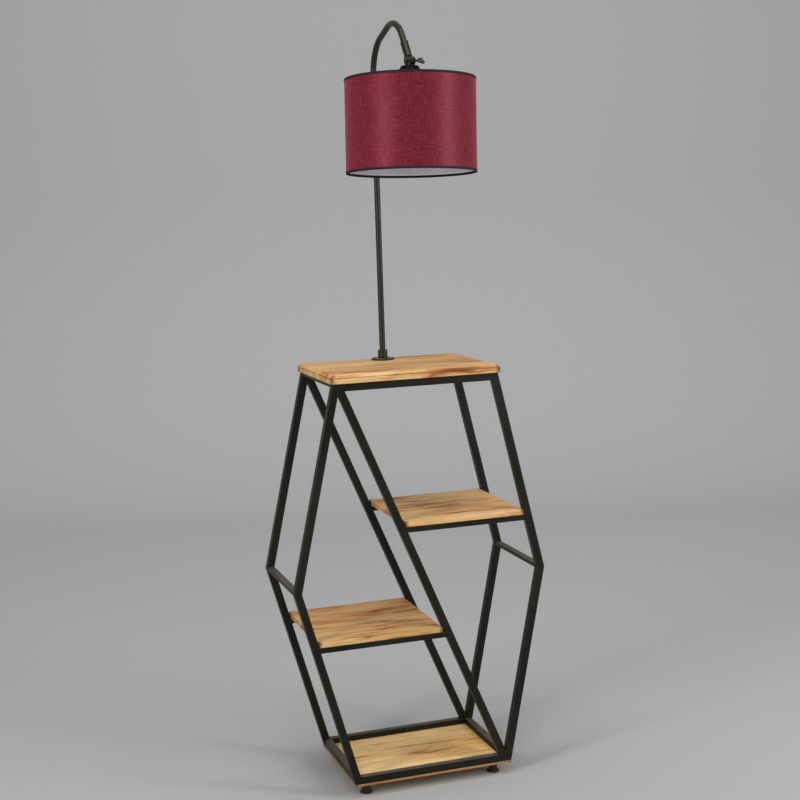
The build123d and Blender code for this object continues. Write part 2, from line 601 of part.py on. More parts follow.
def dome(radius):
    """Dome with a flat top, as high as its radius, its foot in the XY plane."""
    shoulder = Pos(COVER_FLAT, 0) * Ellipse(radius - COVER_FLAT, radius)
    shoulder &= Pos((COVER_FLAT + radius) / 2, radius / 2) * Rectangle(radius - COVER_FLAT, radius)
    middle = Pos(COVER_FLAT / 2, radius / 2) * Rectangle(COVER_FLAT, radius)
    return revolve(Plane.XZ * (middle + shoulder), Axis.Z)


cavity = COVER_RADIUS - COVER_WALL
cover = Pos(0, 0, dome_z) * dome(COVER_RADIUS)
cover += rod(2 * COVER_RADIUS, cover_foot, dome_z)
for rib in range(COVER_RIBS):
    angle = radians(90) * (rib + 0.5) / (COVER_RIBS + 0.5)
    rib_ring = Torus(COVER_FLAT + (COVER_RADIUS - COVER_FLAT) * cos(angle), COVER_RIB)
    cover += Pos(0, 0, dome_z + COVER_RADIUS * sin(angle)) * rib_ring
cover -= Pos(0, 0, dome_z) * dome(cavity)
cover -= rod(2 * cavity, cover_foot - 1, dome_z)
cover -= rod(STEM_DIAMETER, dome_z, 0)
parts["lampholder_cover"] = head * cover

hub_low = -HUB_TOP - HUB_THICKNESS
holder_foot = hub_low - HOLDER_SKIRT
lampholder = rod(HOLDER_SHOULDER, -HUB_TOP, -holder_top)
lampholder += rod(HOLDER_DIAMETER, holder_foot, -HUB_TOP)
lampholder -= rod(STEM_DIAMETER, -holder_top - STEM_GRIP - FIT, 0)
lampholder -= rod(HOLDER_BORE, holder_foot - 1, holder_foot + HOLDER_BORE_DEPTH)
parts["lampholder"] = head * lampholder
parts["shade_ring_nut"] = head * ring(
    RING_NUT_DIAMETER, HOLDER_DIAMETER + 2 * THREAD_CLEARANCE, hub_low - RING_NUT_HEIGHT, hub_low)

bulb_top = holder_foot + HOLDER_BORE_DEPTH
bulb_cap_foot = bulb_top - BULB_CAP_LENGTH
globe_z = bulb_top - BULB_LENGTH + BULB_DIAMETER / 2
bulb = rod(BULB_CAP_DIAMETER, bulb_cap_foot, bulb_top)
bulb += lathe([(0, bulb_cap_foot), (BULB_CAP_DIAMETER / 2, bulb_cap_foot),
               (BULB_DIAMETER / 2 * cos(radians(30)), globe_z + BULB_DIAMETER / 2 * sin(radians(30))),
               (0, globe_z)])
bulb += Pos(0, 0, globe_z) * Sphere(BULB_DIAMETER / 2)
parts["bulb"] = head * bulb

# ---------------------------------------------------------------- shade
liner_outer = SHADE_RADIUS - FABRIC
liner_inner = liner_outer - LINER
wire_circle = liner_inner - FIT - RIM_WIRE / 2
wire_drop = TRIM_HEIGHT + FIT + RIM_WIRE / 2
top_wire_z = -SHADE_TOP - wire_drop
parts["shade_fabric"] = head * ring(2 * SHADE_RADIUS, 2 * liner_outer, -SHADE_BOTTOM, -SHADE_TOP)
parts["shade_liner"] = head * ring(2 * liner_outer, 2 * liner_inner, -SHADE_BOTTOM, -SHADE_TOP)


def trim(edge_z, inward):
    """Band folded over one rim of the shade; inward points along Z into the shade."""
    fold = sorted((edge_z - inward * TRIM_THICKNESS, edge_z + inward * TRIM_HEIGHT))
    covered = sorted((edge_z, edge_z + inward * (TRIM_HEIGHT + 1)))
    band = ring(2 * (SHADE_RADIUS + TRIM_THICKNESS), 2 * (liner_inner - TRIM_THICKNESS), *fold)
    return band - ring(2 * SHADE_RADIUS, 2 * liner_inner, *covered)


parts["shade_trims"] = Compound([head * trim(-SHADE_TOP, -1), head * trim(-SHADE_BOTTOM, 1)])
parts["shade_bottom_wire"] = head * Pos(0, 0, -SHADE_BOTTOM + wire_drop) * Torus(
    wire_circle, RIM_WIRE / 2)

hub_inner = HOLDER_DIAMETER + 2 * FIT
hub_outer = hub_inner + 2 * HUB_WIDTH
spider = ring(hub_outer, hub_inner, hub_low, -HUB_TOP)
spider += Pos(0, 0, top_wire_z) * Torus(wire_circle, RIM_WIRE / 2)
spoke_start = Vector((RING_NUT_DIAMETER + hub_outer) / 4, 0, -HUB_TOP - FIT - RIM_WIRE / 2)
spoke_run = Vector(wire_circle, 0, top_wire_z) - spoke_start
spoke_plane = Plane(origin=spoke_start, z_dir=spoke_run)
spoke = spoke_plane * extrude(Circle(RIM_WIRE / 2), spoke_run.length)
for turn in range(SPOKES):
    spider += Rot(0, 0, 360 * turn / SPOKES + 90) * spoke
parts["shade_spider"] = head * spider

# ---------------------------------------------------------------- write one file for each part
os.makedirs("parts", exist_ok=True)
for name, part in parts.items():
    export_step(part, f"parts/{name}.step")
print(len(parts), "parts; height", round(front_centre[1] + FRONT_BEND_RADIUS + POLE_DIAMETER / 2, 1))
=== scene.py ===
import json
import math
import random

import bmesh
import bpy
from mathutils import Matrix, Vector

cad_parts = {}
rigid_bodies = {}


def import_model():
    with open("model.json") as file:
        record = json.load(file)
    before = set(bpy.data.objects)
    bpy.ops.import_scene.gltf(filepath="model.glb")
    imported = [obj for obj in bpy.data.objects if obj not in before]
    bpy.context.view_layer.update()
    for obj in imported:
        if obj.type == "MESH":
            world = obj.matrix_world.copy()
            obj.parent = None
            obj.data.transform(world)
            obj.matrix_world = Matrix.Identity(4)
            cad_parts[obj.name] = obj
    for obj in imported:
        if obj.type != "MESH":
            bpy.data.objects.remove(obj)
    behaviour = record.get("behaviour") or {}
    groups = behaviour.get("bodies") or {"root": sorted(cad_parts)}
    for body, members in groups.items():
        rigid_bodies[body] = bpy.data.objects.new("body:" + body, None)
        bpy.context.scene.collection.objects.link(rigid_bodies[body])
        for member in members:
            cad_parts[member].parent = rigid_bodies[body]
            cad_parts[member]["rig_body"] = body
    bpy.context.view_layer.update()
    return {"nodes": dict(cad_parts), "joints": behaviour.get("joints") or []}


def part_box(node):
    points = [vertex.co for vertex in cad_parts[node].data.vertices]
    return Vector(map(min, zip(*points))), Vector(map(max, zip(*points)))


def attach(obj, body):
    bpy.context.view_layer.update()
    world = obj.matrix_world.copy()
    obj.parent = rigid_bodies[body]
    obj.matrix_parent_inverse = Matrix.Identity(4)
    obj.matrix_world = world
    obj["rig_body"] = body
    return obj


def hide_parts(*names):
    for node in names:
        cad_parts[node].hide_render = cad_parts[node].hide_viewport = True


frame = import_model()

# Shelf floor lamp: powder-coated tube frame, scorched pine boards, and a bent pole that
# carries a fabric drum shade. Metres, in the same frame as the solids.

nodes = frame["nodes"]
random.seed(7)

# ---------------------------------------------------------------- sizes shared with the solids
HEAD_TILT = math.radians(3)
HEAD_LEAN = math.radians(1.8)
WING_TURN = math.radians(-54)
TOP_BEVEL = 0.008

# heights in the head's own frame, above the pivot
SHADE_TOP = -0.045
SHADE_BOTTOM = -0.276
HUB_TOP = -0.054

SHADE_RADIUS = 0.1635
FABRIC = 0.0007
LINER = 0.0012
TRIM_HEIGHT = 0.005
TRIM_THICKNESS = 0.0008

HUB_THICKNESS = 0.002
HOLDER_SKIRT = 0.040
HOLDER_BORE_DEPTH = 0.024
BULB_RADIUS = 0.030
BULB_LENGTH = 0.108
BULB_CAP_LENGTH = 0.025

EAR_GAP = 0.0003
EAR_THICKNESS = 0.012
WING_HUB_LENGTH = 0.004

pivot = Vector(next(j for j in frame["joints"] if j["name"] == "head_tilt")["pos_m"])
tilted_place = Matrix.Translation(pivot) @ Matrix.Rotation(-HEAD_TILT, 4, "X")
head_place = tilted_place @ Matrix.Rotation(HEAD_LEAN, 4, "Y")
wing_place = tilted_place @ Matrix.Rotation(WING_TURN, 4, "X")


# ---------------------------------------------------------------- node helpers
def colour(red, green, blue):
    """Display colour, 0 to 255, as the linear colour that a shader takes."""
    parts = []
    for value in (red, green, blue):
        value /= 255
        parts.append(value / 12.92 if value <= 0.04045 else ((value + 0.055) / 1.055) ** 2.4)
    return (*parts, 1)


class Finish:
    """A node material under construction."""

    def __init__(self, name):
        self.material = bpy.data.materials.new(name)
        self.material.use_nodes = True
        self.tree = self.material.node_tree
        self.shader = self.tree.nodes["Principled BSDF"]
        self.place = self.add("TexCoord").outputs["Object"]

    def add(self, kind, inputs=None, **settings):
        node = self.tree.nodes.new("ShaderNode" + kind)
        for key, value in settings.items():
            setattr(node, key, value)
        for key, value in (inputs or {}).items():
            self.put(node.inputs[key], value)
        return node

    def put(self, socket, value):
        if isinstance(value, bpy.types.NodeSocket):
            self.tree.links.new(value, socket)
        else:
            socket.default_value = value

    def stretched(self, x, y, z, source=None, shift=(0, 0, 0)):
        """A place for a texture with so many repeats per metre along each axis."""
        return self.add("Mapping", {
            "Vector": source or self.place, "Scale": (x, y, z), "Location": shift}).outputs[0]

    def noise(self, source, scale, detail=4, roughness=0.55):
        return self.add("TexNoise", {
            "Vector": source, "Scale": scale, "Detail": detail, "Roughness": roughness}).outputs["Fac"]

    def math(self, operation, a, b=0.0):
        return self.add("Math", {0: a, 1: b}, operation=operation).outputs[0]

    def between(self, value, low, high, out_low=0.0, out_high=1.0):
        """The value's smooth rise from low to high, as a number from out_low to out_high."""
        return self.add("MapRange", {
            "Value": value, "From Min": low, "From Max": high,
            "To Min": out_low, "To Max": out_high}, interpolation_type="SMOOTHSTEP").outputs[0]

    def mix(self, amount, a, b, blend="MIX"):
        node = self.add("Mix", data_type="RGBA", blend_type=blend)
        self.put(node.inputs[0], amount)
        self.put(node.inputs[6], a)
        self.put(node.inputs[7], b)
        return node.outputs[2]

    def bump(self, height, distance, strength):
        return self.add("Bump", {
            "Height": height, "Distance": distance, "Strength": strength}).outputs["Normal"]

    def done(self, **sockets):
        """The material, with its shader's named sockets filled: _ stands for a space."""
        for key, value in sockets.items():
            self.put(self.shader.inputs[key.replace("_", " ")], value)
        return self.material


# ---------------------------------------------------------------- finishes
def painted(name, dark, light, dust_and_sheen, roughness, shine=0.2):
    """Powder coat: fine orange peel, cloudy gloss, dust with a painted highlight on what faces up, and
    a few rubs.
    """
    rub_cover, dust_and_sheen_cover, dust_roughness = 0.22, 0.42, 0.15
    f = Finish(name)
    cloud = f.noise(f.place, 5, 5)
    peel = f.noise(f.place, 850, 3)
    coarse_peel = f.noise(f.place, 260, 2)
    rub = f.between(f.noise(f.stretched(30, 30, 4), 9, 6, 0.7), 0.66, 0.74)
    up = f.add("SeparateXYZ", {0: f.add("TexCoord").outputs["Normal"]}).outputs[2]
    # painted highlight: faces that look up are paled, partly as dust and partly as the sheen of light
    # on top faces
    dust_and_top_sheen = f.math("MULTIPLY", f.between(up, 0.6, 0.95),
                  f.between(f.noise(f.place, 45, 6), 0.3, 0.7, 0.6, 1))
    tint = f.mix(f.between(cloud, 0.3, 0.7), dark, light)
    tint = f.mix(f.math("MULTIPLY", rub, rub_cover), tint, dust_and_sheen)
    tint = f.mix(f.math("MULTIPLY", dust_and_top_sheen, dust_and_sheen_cover), tint, dust_and_sheen)
    rough = f.math("ADD", f.between(cloud, 0.3, 0.7, roughness - 0.05, roughness + 0.07),
                   f.math("MULTIPLY", dust_and_top_sheen, dust_roughness))
    relief = f.math("ADD", peel, f.math("MULTIPLY", coarse_peel, 1.6))
    return f.done(Base_Color=tint, Roughness=rough, Normal=f.bump(relief, 0.00012, 0.5),
                  Specular_IOR_Level=shine)


def scorched_pine(name, shift, box, knots, line_depth, line_on_ends_only, corner_reach, tone_and_light, scorch,
                  edge_brown):
    """Pine with its grain along X, browned in streaks by a flame, under clear varnish.

    shift moves the textures, so that no two boards are alike. A burnt line runs line_depth below the
    top. The tone factor multiplies the colour: each board's own tone, and on the base board painted
    light that makes up for the shade it gets inside the frame. scorch adds to the heat, and
    edge_brown browns the edges.
    """
    f = Finish(name)
    low, high = box
    board_top = high.z
    low_warp = f.add("TexNoise", {
        "Vector": f.stretched(1.1, 4, 4, shift=shift), "Scale": 2.4, "Detail": 3})
    sway = f.add("VectorMath", {0: low_warp.outputs["Color"], 1: (0.0, 0.05, 0.05)},
                 operation="MULTIPLY")
    grain_place = f.add("VectorMath", {0: f.place, 1: sway.outputs[0]}, operation="ADD").outputs[0]
    turned = f.add("Mapping", {
        "Vector": grain_place, "Location": (0, shift[1] * 0.02, 0.075 - board_top),
        "Rotation": (0, math.radians(1.6), math.radians(0.9))}).outputs[0]
    rings = f.add("TexWave", {
        "Vector": turned, "Scale": 15.0, "Distortion": 2.2, "Detail": 3.0, "Detail Scale": 2.0},
        wave_type="RINGS", rings_direction="X", wave_profile="SAW").outputs["Fac"]
    late = f.math("POWER", rings, 2.4)
    fibre = f.noise(f.stretched(9, 260, 260, grain_place, shift), 3.2, 5, 0.65)
    thin_streak = f.noise(f.stretched(11, 130, 130, grain_place, shift), 1.0, 5, 0.6)
    wide_streak = f.noise(f.stretched(6, 44, 44, grain_place, shift), 1.0, 4, 0.55)
    broad = f.noise(f.stretched(2.2, 12, 12, shift=shift), 1.0, 3)

    face = f.add("SeparateXYZ", {0: f.add("TexCoord").outputs["Normal"]})
    edge_face = f.between(f.math("ABSOLUTE", face.outputs[1]), 0.4, 0.8)
    end_face = f.between(f.math("ABSOLUTE", face.outputs[0]), 0.4, 0.8)
    spot_place = f.add("SeparateXYZ", {0: f.place})
    to_middle = []
    for axis in (0, 1):
        middle = (low[axis] + high[axis]) / 2
        to_middle.append(f.math("ABSOLUTE", f.math("SUBTRACT", spot_place.outputs[axis], middle)))
    half_x = (high.x - low.x) / 2
    half_y = (high.y - low.y) / 2

    wood = f.mix(f.between(broad, 0.35, 0.65), colour(232, 196, 142), colour(212, 168, 106))
    wood = f.mix(f.math("MULTIPLY", late, 0.34), wood, colour(184, 126, 70))
    wood = f.mix(f.between(fibre, 0.35, 0.75, 0, 0.4), wood, colour(172, 118, 64))
    heat = f.math("ADD", f.math("MULTIPLY", wide_streak, 0.62),
                  f.math("MULTIPLY", thin_streak, 0.38))
    heat = f.math("ADD", heat, f.math("MULTIPLY", f.math("SUBTRACT", broad, 0.5), 0.3))
    near_edge = f.between(to_middle[1], half_y - 0.02, half_y - 0.008)
    heat = f.math("ADD", heat, f.math("MULTIPLY", f.math("MAXIMUM", near_edge, edge_face), 0.035))
    heat = f.math("ADD", heat, scorch)
    wood = f.mix(f.between(heat, 0.49, 0.60, 0, 0.7), wood, colour(184, 113, 54))
    wood = f.mix(f.between(heat, 0.56, 0.66, 0, 0.85), wood, colour(118, 62, 28))
    wood = f.mix(f.math("MULTIPLY", end_face, 0.3), wood, colour(164, 112, 62))

    spots = 0.0
    across = f.add("VectorMath", {0: f.place, 1: (1, 1, 0)}, operation="MULTIPLY").outputs[0]
    wobble = f.math("MULTIPLY", f.noise(f.place, 160, 3), 0.0028)
    for x, y, radius in knots:
        away = f.add("VectorMath", {0: across, 1: (x, y, 0)}, operation="DISTANCE").outputs["Value"]
        spot = f.between(f.math("ADD", away, wobble), radius * 0.75, radius * 1.6, 1, 0)
        spots = f.math("MAXIMUM", spots, spot)
    wood = f.mix(f.math("MULTIPLY", spots, 0.85), wood, colour(86, 48, 26))

    relief = f.math("ADD", f.math("MULTIPLY", fibre, 0.7), f.math("MULTIPLY", late, 0.4))
    off_line = f.math("ABSOLUTE",
                      f.math("SUBTRACT", spot_place.outputs[2], board_top - line_depth))
    line = f.between(f.math("ADD", off_line, f.math("MULTIPLY", thin_streak, 0.001)),
                     0.0008, 0.0023, 1, 0)
    line = f.math("MULTIPLY", line, f.between(wide_streak, 0.36, 0.56, 0.3, 1.0))
    if line_on_ends_only:
        line = f.math("MULTIPLY", line, end_face)
    wood = f.mix(f.math("MULTIPLY", line, 0.85), wood, colour(80, 44, 24))
    relief = f.math("SUBTRACT", relief, f.math("MULTIPLY", line, 2.0))
    ragged = f.math("MULTIPLY", f.math("SUBTRACT", f.noise(f.place, 110, 4), 0.5), 0.02)
    near_corner = []
    for away, half in zip(to_middle, (half_x, half_y)):
        near_corner.append(f.between(f.math("ADD", away, ragged), half - corner_reach, half - 0.003))
    corner = f.math("MULTIPLY", *near_corner)
    wood = f.mix(f.math("MULTIPLY", corner, 0.75), wood, colour(92, 50, 26))
    brown = f.math("MULTIPLY", f.math("MAXIMUM", end_face, edge_face), edge_brown)
    wood = f.mix(brown, f.mix(1.0, wood, (*tone_and_light, 1), "MULTIPLY"), colour(122, 70, 34))
    rough = f.between(f.noise(f.stretched(8, 60, 60), 4, 4), 0.3, 0.7, 0.46, 0.62)
    return f.done(Base_Color=wood, Roughness=rough, Normal=f.bump(relief, 0.00035, 0.6),
                  Specular_IOR_Level=0.22)


def silky_linen(name):
    """Red cloth of crossed slubby threads; the map called cloth is in metres round and up."""
    f = Finish(name)
    cloth = f.add("UVMap", uv_map="cloth").outputs[0]
    warp = f.noise(f.stretched(1100, 60, 1, cloth), 1.0, 3, 0.6)
    weft = f.noise(f.stretched(60, 1000, 1, cloth), 1.0, 3, 0.6)
    warp_slub = f.noise(f.stretched(470, 34, 1, cloth), 1.0, 3, 0.6)
    weft_slub = f.noise(f.stretched(36, 430, 1, cloth), 1.0, 3, 0.6)
    mottle = f.noise(f.stretched(330, 250, 1, cloth), 1.0, 4, 0.6)
    over = f.add("TexChecker", {
        "Vector": f.stretched(1, 1, 1, cloth), "Scale": 1900.0}).outputs["Fac"]
    tint = f.mix(f.between(warp, 0.3, 0.7), colour(84, 21, 30), colour(120, 38, 48))
    tint = f.mix(f.between(weft, 0.35, 0.7, 0, 0.6), tint, colour(72, 14, 25))
    tint = f.mix(f.between(warp_slub, 0.48, 0.68, 0, 0.5), tint, colour(142, 60, 71))
    tint = f.mix(f.between(weft_slub, 0.48, 0.68, 0, 0.55), tint, colour(138, 56, 67))
    tint = f.mix(f.between(mottle, 0.42, 0.66, 0, 0.65), tint, colour(62, 12, 24))
    relief = f.math("ADD", f.math("ADD", warp, weft), f.math("MULTIPLY", over, 0.25))
    rough = f.between(mottle, 0.3, 0.7, 0.37, 0.47)
    return f.done(Base_Color=tint, Roughness=rough, Normal=f.bump(relief, 0.00012, 0.45),
                  Specular_IOR_Level=0.4, Specular_Tint=(1.0, 0.24, 0.32, 1),
                  Sheen_Weight=0.42, Sheen_Tint=(0.85, 0.03, 0.08, 1))


def black_tape(name):
    """Woven binding tape, ribbed across its width."""
    f = Finish(name)
    cloth = f.add("UVMap", uv_map="cloth").outputs[0]
    ribs = f.add("TexWave", {"Vector": cloth, "Scale": 260.0, "Distortion": 0.6, "Detail": 2.0},
                 wave_type="BANDS", bands_direction="X").outputs["Fac"]
    fluff = f.noise(f.place, 700, 4)
    tint = f.mix(fluff, colour(10, 8, 12), colour(32, 26, 34))
    return f.done(Base_Color=tint, Roughness=f.between(fluff, 0.3, 0.7, 0.55, 0.75),
                  Normal=f.bump(f.math("ADD", ribs, fluff), 0.0002, 0.7), Specular_IOR_Level=0.25)


def plastic(name, base, other, roughness, grain=420, shine=0.35):
    """Moulded plastic with a fine spark-eroded grain."""
    f = Finish(name)
    fine = f.noise(f.place, grain, 4)
    cloud = f.noise(f.place, 14, 4)
    rough = f.between(cloud, 0.3, 0.7, roughness - 0.06, roughness + 0.08)
    return f.done(Base_Color=f.mix(f.between(cloud, 0.3, 0.7), base, other), Roughness=rough,
                  Normal=f.bump(fine, 0.00008, 0.6), Specular_IOR_Level=shine)


def plated(name, base, other):
    """Plated metal: cloudy, with drawing marks."""
    f = Finish(name)
    cloud = f.noise(f.place, 120, 5)
    marks = f.noise(f.stretched(900, 900, 60), 1, 3)
    return f.done(Base_Color=f.mix(cloud, base, other),
                  Roughness=f.between(cloud, 0.3, 0.7, 0.26, 0.46),
                  Normal=f.bump(marks, 0.00006, 0.5), Metallic=1.0)


frame_paint = painted("frame_paint", colour(20, 18, 11), colour(28, 26, 17), colour(122, 113, 92),
                      roughness=0.38)
pole_paint = painted("pole_paint", colour(28, 24, 14), colour(40, 35, 21), colour(92, 80, 55),
                     roughness=0.33, shine=0.26)
linen = silky_linen("red_linen")
tape = black_tape("black_tape")
black_plastic = plastic("black_plastic", colour(4, 4, 5), colour(8, 8, 9), 0.42,
                        shine=0.06)
foot_plastic = plastic("foot_plastic", colour(24, 24, 20), colour(36, 36, 31), 0.36,
                       shine=0.4)
# painted shade: the liner's white plastic is given a greyer colour, for the shade inside the drum
shaded_liner_plastic = plastic("shaded_liner_plastic", colour(182, 172, 182), colour(194, 184, 193), 0.5,
                        grain=900)
opal = plastic("opal_glass", colour(238, 236, 230), colour(244, 243, 240), 0.25, grain=90)
zinc = plated("zinc", colour(176, 176, 172), colour(206, 206, 200))
brass = plated("nickelled_cap", colour(186, 180, 164), colour(208, 202, 188))
wire_paint = painted("wire_paint", colour(188, 184, 186), colour(202, 198, 199),
                     colour(176, 168, 162), roughness=0.4)

shelf_look = dict(line_depth=0.0065, line_on_ends_only=True, corner_reach=0.009)
board_looks = {
    "top_board": dict(line_depth=TOP_BEVEL, line_on_ends_only=False, corner_reach=0.016,
                      tone_and_light=(0.94, 0.9, 0.83), scorch=0.0, edge_brown=0.0),
    "upper_shelf_board": dict(shelf_look, tone_and_light=(1, 1, 1), scorch=0.0, edge_brown=0.0),
    "lower_shelf_board": dict(shelf_look, tone_and_light=(0.86, 0.82, 0.75), scorch=0.005, edge_brown=0.0),
    # painted light: the base board gets a paler tone and less scorch, against the shade it gets inside
    # the frame
    "base_board": dict(shelf_look, tone_and_light=(1.18, 1.24, 1.22), scorch=-0.022, edge_brown=0.7),
}
boards = {}
for number, (board, look) in enumerate(board_looks.items()):
    low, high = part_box(board)
    size = high - low
    knots = []
    for _ in range(3 if board == "top_board" else 4):
        x = low.x + size.x * random.uniform(0.12, 0.9)
        y = low.y + size.y * random.uniform(0.1, 0.9)
        knots.append((x, y, random.uniform(0.0016, 0.0034)))
    shift = (number * 3.7 + 0.4, number * 1.9, number * 2.3)
    boards[board] = scorched_pine("pine_" + board, shift, (low, high), knots, **look)


def finish_of(node):
    """The finish of a node's own surface."""
    if node in boards:
        return boards[node]
    if node in ("pole", "bent_arm", "arm_sleeve", "arm_knuckle", "head_knuckle", "wing_screw",
                "pole_flange"):
        return pole_paint
    if "screw" in node or node in ("foot_inserts", "pole_joiner") or node.endswith("foot_stud"):
        return zinc
    if node.endswith("foot_pad"):
        return foot_plastic
    if node in ("lampholder_cover", "lampholder", "shade_ring_nut", "cord_grommet"):
        return black_plastic
    if node == "shade_liner":
        return shaded_liner_plastic
    if node in ("shade_spider", "shade_bottom_wire"):
        return wire_paint
    if node == "bulb":
        return opal
    if node in ("shade_fabric", "shade_trims"):
        return linen
    return frame_paint


for name, node in nodes.items():
    for material_slot in node.material_slots:
        material_slot.material = finish_of(name)


# ---------------------------------------------------------------- mesh helpers
def placed(name, shape, material, smooth=True):
    """A finished shape as an object in the scene."""
    mesh = bpy.data.meshes.new(name)
    shape.to_mesh(mesh)
    shape.free()
    for polygon in mesh.polygons:
        polygon.use_smooth = smooth
    mesh.materials.append(material)
    made = bpy.data.objects.new(name, mesh)
    bpy.context.scene.collection.objects.link(made)
    return made


def piece(name, shape, material, body, replaced=(), smooth=True):
    """A finished shape as an object that rides on a body."""
    made = placed(name, shape, material, smooth)
    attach(made, body)
    if replaced:
        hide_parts(*replaced)
    return made


def turned_shape(profile, steps, closed, place, wave=None):
    """Surface of revolution from (r, z) points, with a map in metres round and along it.

    A closed profile joins its last point to its first. wave(angle, r) adds to the radius.
    """
    shape = bmesh.new()
    map_layer = shape.loops.layers.uv.new("cloth")
    columns = []
    for step in range(steps):
        angle = 2 * math.pi * step / steps
        column = []
        for r, z in profile:
            grown = r + (wave(angle, r) if wave else 0)
            column.append(shape.verts.new((grown * math.cos(angle), grown * math.sin(angle), z)))
        columns.append(column)
    along = [0.0]
    ends = list(profile) + ([profile[0]] if closed else [])
    for start, end in zip(ends, ends[1:]):
        along.append(along[-1] + math.hypot(end[0] - start[0], end[1] - start[1]))
    radius = max(r for r, z in profile)
    count = len(profile) if closed else len(profile) - 1
    for step in range(steps):
        here = columns[step]
        after = columns[(step + 1) % steps]
        for i in range(count):
            j = (i + 1) % len(profile)
            corners = [here[i], after[i], after[j], here[j]]
            places = [(step, i), (step + 1, i), (step + 1, i + 1), (step, i + 1)]
            face = shape.faces.new(corners)
            for loop, (column_number, row) in zip(face.loops, places):
                loop[map_layer].uv = (column_number * 2 * math.pi * radius / steps, along[row])
    bmesh.ops.recalc_face_normals(shape, faces=shape.faces)
    shape.transform(place)
    return shape


# ---------------------------------------------------------------- tubes and boards with eased edges
TUBE_ROUNDING = 0.0014
BOARD_ROUNDING = 0.0009
SAME_POINT = 1e-6
FLAT_ANGLE = math.radians(0.5)
SHARP_ANGLE = 0.6               # radians between two faces


def eased(node, rounding, shortest, material):
    """The node with its long outer edges rounded, as drawn tube and sanded boards have them.

    shortest is the least length of an edge to round, as a share of the node's longest edge.
    """
    shape = bmesh.new()
    shape.from_mesh(nodes[node].data)
    bmesh.ops.remove_doubles(shape, verts=shape.verts, dist=SAME_POINT)
    bmesh.ops.dissolve_limit(shape, angle_limit=FLAT_ANGLE, verts=shape.verts, edges=shape.edges)
    longest = max(edge.calc_length() for edge in shape.edges)
    edges = [edge for edge in shape.edges
             if edge.is_convex and edge.is_manifold and edge.calc_length() > shortest * longest
             and edge.calc_face_angle() > SHARP_ANGLE]
    bmesh.ops.bevel(shape, geom=edges, offset=rounding, segments=3, profile=0.5, affect="EDGES")
    made = piece(node + "_eased", shape, material, nodes[node]["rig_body"], (node,), smooth=False)


tubes = sorted(
    name for name in nodes if name.endswith(("_rail", "_leg", "_diagonal", "_cross_tube")))
for name in tubes:
    eased(name, TUBE_ROUNDING, 0.8, frame_paint)
for name, material in boards.items():
    eased(name, BOARD_ROUNDING, 0.5, material)


# ---------------------------------------------------------------- welds
BEAD_RADIUS = 0.0014
RING_PITCH = 0.0011
RIPPLE_PITCH = 0.0026
BEAD_SIDES = 8
BEAD_INSET = 0.0015
UPRIGHT_INSET = 0.001


def bead(shape, start, end, rng):
    """Ripple of weld metal between two points, half sunk in the corner."""
    run = end - start
    length = run.length
    turn = run.to_track_quat("Z", "Y").to_matrix()
    rings = max(6, int(length / RING_PITCH))
    previous = None
    for step in range(rings + 1):
        share = step / rings
        ripple = 1 + 0.14 * math.sin(share * length / RIPPLE_PITCH * 2 * math.pi)
        ripple += rng.uniform(-0.06, 0.06)
        taper = min(1.0, 0.35 + 3 * min(share, 1 - share))
        size = BEAD_RADIUS * ripple * taper
        ring = []
        for side in range(BEAD_SIDES):
            angle = 2 * math.pi * side / BEAD_SIDES
            offset = turn @ Vector((size * math.cos(angle), size * math.sin(angle), 0))
            ring.append(shape.verts.new(start + run * share + offset))
        if previous:
            for side in range(BEAD_SIDES):
                after = (side + 1) % BEAD_SIDES
                shape.faces.new((previous[side], previous[after], ring[after], ring[side]))
        else:
            shape.faces.new(list(reversed(ring)))
        previous = ring
    shape.faces.new(previous)


def ends_at(node, height):
    """Lowest and highest x of the node's corners at one height."""
    xs = [v.co.x for v in nodes[node].data.vertices if abs(v.co.z - height) < 1e-5]
    return min(xs), max(xs)


rng = random.Random(11)
welds = bmesh.new()
for name in tubes:
    low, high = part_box(name)
    if name.endswith(("_shelf_rail", "_diagonal")):
        # a shelf rail's top is under its board, so it has beads at the bottom only
        heights = (low.z,) if name.endswith("_shelf_rail") else (low.z, high.z)
        for height in heights:
            for x in ends_at(name, height):
                bead(welds, Vector((x, low.y + BEAD_INSET, height)),
                     Vector((x, high.y - BEAD_INSET, height)), rng)
    if name.endswith("_cross_tube"):
        inside = high.x if "left" in name else low.x
        for y in (low.y, high.y):
            bead(welds, Vector((low.x + BEAD_INSET, y, low.z)),
                 Vector((high.x - BEAD_INSET, y, low.z)), rng)
            bead(welds, Vector((inside, y, low.z + UPRIGHT_INSET)),
                 Vector((inside, y, high.z - UPRIGHT_INSET)), rng)
bmesh.ops.recalc_face_normals(welds, faces=welds.faces)
weld_piece = piece("weld_beads", welds, frame_paint, "root")

# ---------------------------------------------------------------- shade
SEAM_ANGLE = math.radians(100)
SEAM_HALF_WIDTH = 0.007
SEAM_SLOPE = 0.0015
SEAM_RISE = 0.00035
CLOTH_ROWS = 48
TUCKS = 130
TUCK_DEPTH = 0.00012
outer = SHADE_RADIUS


def seam(angle, r):
    """The cloth laps over itself along one upright seam at the back."""
    off = abs((angle - SEAM_ANGLE + math.pi) % (2 * math.pi) - math.pi) * SHADE_RADIUS
    return SEAM_RISE * max(0.0, min(1.0, (SEAM_HALF_WIDTH - off) / SEAM_SLOPE))


cloth_profile = [(outer, SHADE_BOTTOM + (SHADE_TOP - SHADE_BOTTOM) * i / CLOTH_ROWS)
                 for i in range(CLOTH_ROWS + 1)]
cloth_profile += [(outer - FABRIC * 0.9, z) for r, z in reversed(cloth_profile)]
cloth = piece("shade_cloth", turned_shape(cloth_profile, 360, True, head_place, seam), linen, "head",
              ("shade_fabric",))


